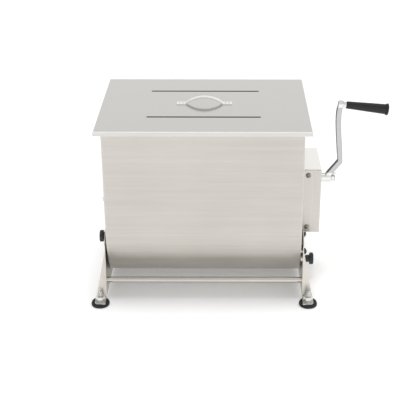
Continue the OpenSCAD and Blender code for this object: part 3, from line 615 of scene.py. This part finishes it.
class MIXER_OT_lid(MixerOperator, bpy.types.Operator):
    """Finishes the lid, rounds its handle's edges and spot-welds the handle on"""

    bl_idname = "mixer.lid"
    bl_label = "Lid"

    def execute(self, context):
        metal = context.scene.mixer_metal
        # The top, lip and fold colours paint the lid's light and shade: a shaded top, a lit lip and a highlight along
        # the fold.
        sheet = brushed_sheet(
            "Lid sheet", metal.lit_lip_colour, "x", roughness=0.09, corner_shade=0.25, reach=0.004,
            top=metal.shaded_lid_top_colour, fold=metal.fold_highlight_colour,
        )
        strap = brushed_sheet("Handle strap", metal.strap_colour, "x", roughness=0.22, corner_shade=0.9, reach=0.004)
        dress(sheet, "lid_sheet")
        dress(strap, "lid_handle")
        soften(metal.fold * 0.5, "lid_handle")
        low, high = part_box("lid_handle")
        lid_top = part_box("lid_sheet")[1].z
        strap_thickness, outer, inner = 0.002, 0.006, 0.013
        spots = [
            self.spot_weld(Vector((x, 0, lid_top + strap_thickness)))
            for x in (low.x + outer, low.x + inner, high.x - inner, high.x - outer)
        ]
        new_piece("handle_spot_welds", *gather(spots), strap, "lid", "lid_sheet_steel")
        return {"FINISHED"}

    def spot_weld(self, centre):
        """A dished mark with a raised rim, sunk a little into the strap."""
        radius, dent, proud, sunk, point, around = 0.0024, 0.0005, 0.0003, 0.001, 1e-5, 20
        rings = ((0, -dent), (0.62, -dent * 0.7), (0.86, dent * 0.35), (1, 0), (1, -sunk), (0, -sunk))
        verts = []
        for share, rise in rings:
            for i in range(around):
                a, r = math.tau * i / around, max(share * radius, point)
                verts.append(centre + Vector((math.cos(a) * r, math.sin(a) * r, rise + proud)))
        faces = grid_faces(len(rings), around)
        faces += [tuple(range(around)), tuple(len(verts) - around + i for i in range(around))]
        return verts, faces


class MIXER_OT_stand(MixerOperator, bpy.types.Operator):
    """Finishes the stand and welds its cross bars to the side plates"""

    bl_idname = "mixer.stand"
    bl_label = "Stand"

    def execute(self, context):
        metal = context.scene.mixer_metal
        sheet = brushed_sheet("Stand sheet", metal.stand_colour, "z", roughness=0.32)
        edge_tint = (0.2, 0.2, 0.2, 1)
        bars = brushed_sheet(
            "Cross bars", metal.bar_colour, "x", roughness=0.12, corner_shade=0.6, reach=0.012, wave=0.0002,
            Specular_Tint=edge_tint,
        )
        dress(sheet, "side_plate_left", "side_plate_right", "lock_bush")
        dress(bars, "front_crossbar", "rear_crossbar")
        soften(metal.fold * 0.5, "side_plate_left", "side_plate_right")
        inner = (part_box("side_plate_left")[1].x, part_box("side_plate_right")[0].x)
        beads, points = [], 48
        for bar in ("front_crossbar", "rear_crossbar"):
            low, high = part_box(bar)
            centre, radius = (low + high) / 2, (high.z - low.z) / 2
            for wall, side in zip(inner, (1, -1)):
                path, out = [], []
                for k in range(points):
                    a = math.tau * k / points
                    ray = Vector((0, math.cos(a), math.sin(a)))
                    path.append(Vector((wall, centre.y, centre.z)) + ray * radius)
                    out.append(ray + X * side)
                beads.append(weld_bead(path, out, metal.bead))
        new_piece("crossbar_welds", *gather(beads), sheet, "stand", "stand_sheet")
        return {"FINISHED"}


class MIXER_OT_feet(MixerOperator, bpy.types.Operator):
    """Finishes the rubber feet, nuts and washers, and threads the studs"""

    bl_idname = "mixer.feet"
    bl_label = "Feet"

    def execute(self, context):
        metal, plastic = context.scene.mixer_metal, context.scene.mixer_plastic
        zinc = bright_zinc("Foot zinc", metal.zinc_colour)
        dress(moulded_rubber("Foot rubber", plastic.rubber_colour), "rubber_feet")
        dress(zinc, "foot_washers", "foot_nuts")
        low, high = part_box("foot_studs")
        radius, plain = 0.005, 0.012
        studs = [
            threaded_rod(Vector((x, y, low.z)), radius, high.z - low.z, metal.pitch, plain)
            for x in (low.x + radius, high.x - radius) for y in (low.y + radius, high.y - radius)
        ]
        new_piece("threaded_foot_studs", *gather(studs), zinc, "stand", "zinc_hardware", ["foot_studs"])
        return {"FINISHED"}


class MIXER_OT_pivots(MixerOperator, bpy.types.Operator):
    """Finishes the tilt pivots, the stop, the lock and their knobs"""

    bl_idname = "mixer.pivots"
    bl_label = "Pivots and lock"

    def execute(self, context):
        metal, plastic = context.scene.mixer_metal, context.scene.mixer_plastic
        dress(sintered_bronze("Pivot bronze", metal.bronze_colour), "pivot_bushes", "guide_buttons", "pivot_spacers")
        dress(bright_zinc("Bolt zinc", metal.zinc_colour), "stop_bolt", "lock_screw")
        dress(turned_steel("Pivot steel", metal.shaft_colour), "pivot_studs")
        knobs = moulded_plastic("Knob plastic", plastic.knob_colour, roughness=0.3)
        dress(knobs, "pivot_knob", "lock_knob", "stop_bolt_cap")
        return {"FINISHED"}


class MIXER_OT_bearings(MixerOperator, bpy.types.Operator):
    """Finishes the paddle shaft's bearings, bushes, seals and end screw"""

    bl_idname = "mixer.bearings"
    bl_label = "Bearings"

    def execute(self, context):
        metal, plastic = context.scene.mixer_metal, context.scene.mixer_plastic
        dress(turned_steel("Housing steel", metal.shaft_colour), "bearing_housing")
        dress(bright_zinc("Screw zinc", metal.zinc_colour), "bearing_screws", "tail_screw", "tail_washer")
        dress(sintered_bronze("Bush bronze", metal.bronze_colour), "tail_bush", "journal_bush")
        dress(moulded_rubber("Seal rubber", plastic.rubber_colour), "shaft_seals")
        return {"FINISHED"}


class MIXER_OT_paddles(MixerOperator, bpy.types.Operator):
    """Finishes the paddle shaft and welds its arms on"""

    bl_idname = "mixer.paddles"
    bl_label = "Paddles"

    def execute(self, context):
        metal = context.scene.mixer_metal
        steel = turned_steel("Shaft steel", metal.shaft_colour)
        blades = brushed_sheet("Blade sheet", metal.shaft_colour, "x", roughness=0.34)
        dress(steel, "paddle_shaft", "paddle_arms")
        dress(blades, "paddle_blades")
        axis, centre = middle("drive_gear"), middle("lid_sheet").x
        shaft_r, arm_r, step, count, points = 0.010, 0.006, 0.063, 5, 40
        first, apart = 45, 90
        beads = []
        for i in range(count):
            turn = Matrix.Rotation(math.radians(first + apart * i), 3, "X")
            base = Vector((centre + (i - (count - 1) / 2) * step, axis.y, axis.z))
            path, out = [], []
            for k in range(points):
                a = math.tau * k / points
                reach = math.sqrt(shaft_r ** 2 - (arm_r * math.sin(a)) ** 2)
                ray = Vector((math.cos(a), math.sin(a), 0))
                path.append(base + turn @ (ray * arm_r + Z * reach))
                out.append(turn @ (ray + Z))
            beads.append(weld_bead(path, out, metal.bead))
        new_piece("paddle_arm_welds", *gather(beads), steel, "paddle", "machined_steel")
        return {"FINISHED"}


class MIXER_OT_gears(MixerOperator, bpy.types.Operator):
    """Finishes the gears and their pins"""

    bl_idname = "mixer.gears"
    bl_label = "Gears"

    def execute(self, context):
        metal = context.scene.mixer_metal
        dress(turned_steel("Gear steel", metal.shaft_colour), "drive_gear", "pinion")
        dress(bright_zinc("Pin zinc", metal.zinc_colour), "gear_pin", "pinion_pin")
        return {"FINISHED"}


class MIXER_OT_gear_case(MixerOperator, bpy.types.Operator):
    """Finishes the gear case, its screws and the input shaft's bushes"""

    bl_idname = "mixer.gear_case"
    bl_label = "Gear case"

    def execute(self, context):
        metal = context.scene.mixer_metal
        dress(brushed_sheet("Gear case base", metal.tub_colour, "z", corner_shade=0.45), "gear_case_base")
        # Its top takes a brighter colour as painted light.
        cover = brushed_sheet(
            "Gear case sheet", metal.tub_colour, "yz", corner_shade=0.45, reach=0.006, top=metal.lit_case_top_colour,
        )
        dress(cover, "gear_case_cover")
        dress(satin_chrome("Gear cover screws", metal.shaded_screw_colour), "gear_case_screws")
        dress(sintered_bronze("Input bronze", metal.bronze_colour), "input_bush_inner", "input_bush_outer")
        return {"FINISHED"}


class MIXER_OT_crank(MixerOperator, bpy.types.Operator):
    """Finishes the crank and its grip, and rounds the forged arm and the wing nut"""

    bl_idname = "mixer.crank"
    bl_label = "Crank"

    def execute(self, context):
        metal, plastic = context.scene.mixer_metal, context.scene.mixer_plastic
        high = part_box("crank_arm")[1]
        hub_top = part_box("input_bush_outer")[1].z
        eye_low = high.z - (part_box("grip")[1].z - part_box("grip")[0].z) * 0.5
        arm = satin_chrome(
            "Crank chrome", metal.crank_colour, metal.arm_colour, metal.flank_shade_colour, reach=(hub_top, eye_low),
        )
        dress(arm, "crank_arm")
        dress(satin_chrome("Crank fittings", metal.crank_colour), "wing_nut", "grip_spindle")
        dress(turned_steel("Input shaft steel", metal.shaft_colour), "input_shaft")
        dress(moulded_plastic("Grip plastic", plastic.grip_colour, roughness=0.24, grain=1800, gloss=0.38), "grip")
        forge("crank_arm", step=0.0006, passes=28)
        soften(0.0006, "wing_nut")
        return {"FINISHED"}


# ---------------------------------------------------------------- stage


def soft_light(name, towards, spread, strength):
    """An even light from one direction, as soft as a wide diffuser."""
    lamp = bpy.data.lights.new(name, "SUN")
    lamp.angle, lamp.energy = spread, strength
    holder = bpy.data.objects.new(name, lamp)
    holder.rotation_euler = towards.to_track_quat("Z", "Y").to_euler()
    holder.visible_glossy = False
    bpy.context.scene.collection.objects.link(holder)


def seen_directly(tree):
    """1 for rays that show the background: from the camera, off gloss or through glass."""
    path = tree.nodes.new("ShaderNodeLightPath")
    total = None
    for name in ("Is Camera Ray", "Is Glossy Ray", "Is Transmission Ray"):
        if total is None:
            total = path.outputs[name]
            continue
        add = tree.nodes.new("ShaderNodeMath")
        add.operation, add.use_clamp = "ADD", True
        tree.links.new(total, add.inputs[0])
        tree.links.new(path.outputs[name], add.inputs[1])
        total = add.outputs[0]
    return total


class MIXER_OT_stage(MixerOperator, bpy.types.Operator):
    """Sets the floor, the soft light and the camera"""

    bl_idname = "mixer.stage"
    bl_label = "Stage"

    def execute(self, context):
        stage, scene = context.scene.mixer_stage, context.scene
        self.floor(stage)
        self.room(stage, scene)
        soft_light("Key light", Z, stage.key_spread, stage.key)
        camera = bpy.data.cameras.new("Camera")
        camera.lens, camera.sensor_width, camera.shift_x = stage.lens, 36, stage.camera_shift
        camera.clip_end = 50
        holder = bpy.data.objects.new("Camera", camera)
        holder.location = stage.camera_place
        turn = Matrix.Rotation(stage.camera_pitch, 3, "X") @ Matrix.Rotation(stage.camera_roll, 3, "Z")
        holder.rotation_euler = turn.to_euler()
        scene.collection.objects.link(holder)
        scene.camera = holder
        scene.view_settings.view_transform = "Standard"
        return {"FINISHED"}

    def floor(self, stage):
        """A matt floor that keeps the machine's shadow and glows a little where it is seen."""
        half = 12
        mesh = bpy.data.meshes.new("floor")
        mesh.from_pydata([(-half, -half, 0), (half, -half, 0), (half, half, 0), (-half, half, 0)], [], [(0, 1, 2, 3)])
        m = Nodes("Floor paint", 0.0, stage.floor_colour, roughness=0.9, Specular_IOR_Level=0.0)
        glow = m.add("ShaderNodeEmission")
        glow.inputs["Color"].default_value = (1, 1, 1, 1)
        m.join(m.span(seen_directly(m.tree), 0, stage.floor_glow, 0, 1), glow.inputs["Strength"])
        both = m.add("ShaderNodeAddShader")
        m.join(m.shader.outputs["BSDF"], both.inputs[0])
        m.join(glow.outputs["Emission"], both.inputs[1])
        m.join(both.outputs["Shader"], m.tree.nodes["Material Output"].inputs["Surface"])
        mesh.materials.append(m.material)
        floor = bpy.data.objects.new("floor", mesh)
        bpy.context.scene.collection.objects.link(floor)

    def room(self, stage, scene):
        """White round the horizon, softer overhead and shaded to the left."""
        world = bpy.data.worlds.new("Studio")
        world.use_nodes = True
        scene.world = world
        tree = world.node_tree
        direction = tree.nodes.new("ShaderNodeTexCoord")
        split = tree.nodes.new("ShaderNodeSeparateXYZ")
        tree.links.new(direction.outputs["Generated"], split.inputs["Vector"])

        def fade(axis, start, end, low, high):
            """Turns smoothly from low to high as the direction's part along one axis goes from start to end."""
            node = tree.nodes.new("ShaderNodeMapRange")
            node.interpolation_type = "SMOOTHSTEP"
            for key, value in (("From Min", start), ("From Max", end), ("To Min", low), ("To Max", high)):
                node.inputs[key].default_value = value
            tree.links.new(split.outputs[axis], node.inputs["Value"])
            return node.outputs["Result"]

        def combine(kind, first, second):
            """One sum of two brightnesses."""
            node = tree.nodes.new("ShaderNodeMath")
            node.operation = kind
            tree.links.new(first, node.inputs[0])
            tree.links.new(second, node.inputs[1])
            return node.outputs["Value"]

        # Where each change of brightness starts and ends, along one axis of the direction looked in
        overhead, left, horizon, panel = (0.5, 0.8), (-0.65, -0.22), (0.12, 0.32), (0.92, 0.975)
        level = combine("MULTIPLY", fade("Z", *overhead, 1.0, stage.ceiling), fade("X", *left, stage.shade, 1.0))
        level = combine("MAXIMUM", level, fade("Z", *horizon, 1.0, 0.0))
        level = combine("ADD", level, fade("Z", *panel, 0.0, stage.panel))
        tree.nodes["Background"].inputs["Color"].default_value = (1, 1, 1, 1)
        tree.links.new(level, tree.nodes["Background"].inputs["Strength"])


# ---------------------------------------------------------------- panel and registration


STEPS = (
    MIXER_OT_tub, MIXER_OT_lid, MIXER_OT_stand, MIXER_OT_feet, MIXER_OT_pivots, MIXER_OT_bearings,
    MIXER_OT_paddles, MIXER_OT_gears, MIXER_OT_gear_case, MIXER_OT_crank, MIXER_OT_stage,
)
GROUPS = {"mixer_metal": MixerMetal, "mixer_plastic": MixerPlastic, "mixer_stage": MixerStage}


class MIXER_PT_panel(bpy.types.Panel):
    """Lists the mixer's sizes, colours and steps"""

    bl_idname = "MIXER_PT_panel"
    bl_label = "Meat Mixer"
    bl_space_type = "VIEW_3D"
    bl_region_type = "UI"
    bl_category = "Mixer"

    def draw(self, context):
        for name, group in GROUPS.items():
            box = self.layout.box()
            for key in group.__annotations__:
                box.prop(getattr(context.scene, name), key)
        for step in STEPS:
            self.layout.operator(step.bl_idname)


CLASSES = (*GROUPS.values(), *STEPS, MIXER_PT_panel)


def register():
    for cls in CLASSES:
        bpy.utils.register_class(cls)
    for name, group in GROUPS.items():
        setattr(bpy.types.Scene, name, PointerProperty(type=group))


def unregister():
    for name in GROUPS:
        delattr(bpy.types.Scene, name)
    for cls in reversed(CLASSES):
        bpy.utils.unregister_class(cls)


def main():
    register()
    for step in STEPS:
        group, name = step.bl_idname.split(".")
        getattr(getattr(bpy.ops, group), name)()


if __name__ == "__main__":
    main()
